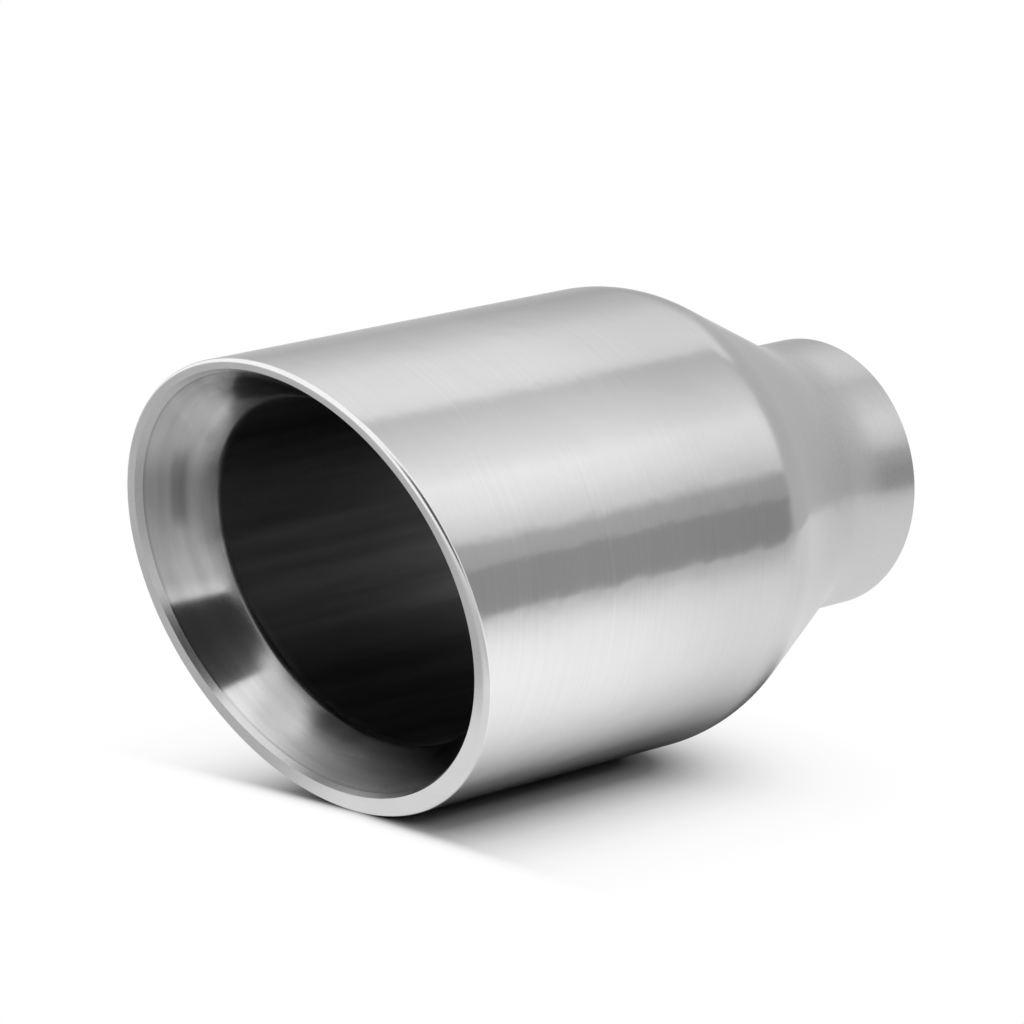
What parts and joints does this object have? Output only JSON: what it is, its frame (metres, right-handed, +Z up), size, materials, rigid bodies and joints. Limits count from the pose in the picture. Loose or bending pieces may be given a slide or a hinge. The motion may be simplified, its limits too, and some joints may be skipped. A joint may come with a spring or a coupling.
{
  "type": "exhaust tip",
  "caption": "Round double-wall exhaust tip of brushed stainless steel, with a slash-cut rolled lip, a straight barrel, a cone and a short inlet neck.",
  "frame": {"origin": "centre of the inlet's end, on the axis of the neck", "axes": "+X along the axis and out of the inlet, the way the tailpipe leaves; the outlet faces -X; +Z up, with the long side of the slash cut on top"},
  "size_m": [0.1763, 0.1016, 0.1016],
  "materials": {
    "brushed_shell": "brushed round the axis",
    "liner_steel": "polished bell, dull sleeve"
  },
  "bodies": {
    "root": {"outer_shell": "brushed_shell", "inner_liner": "liner_steel"}
  },
  "joints": []
}
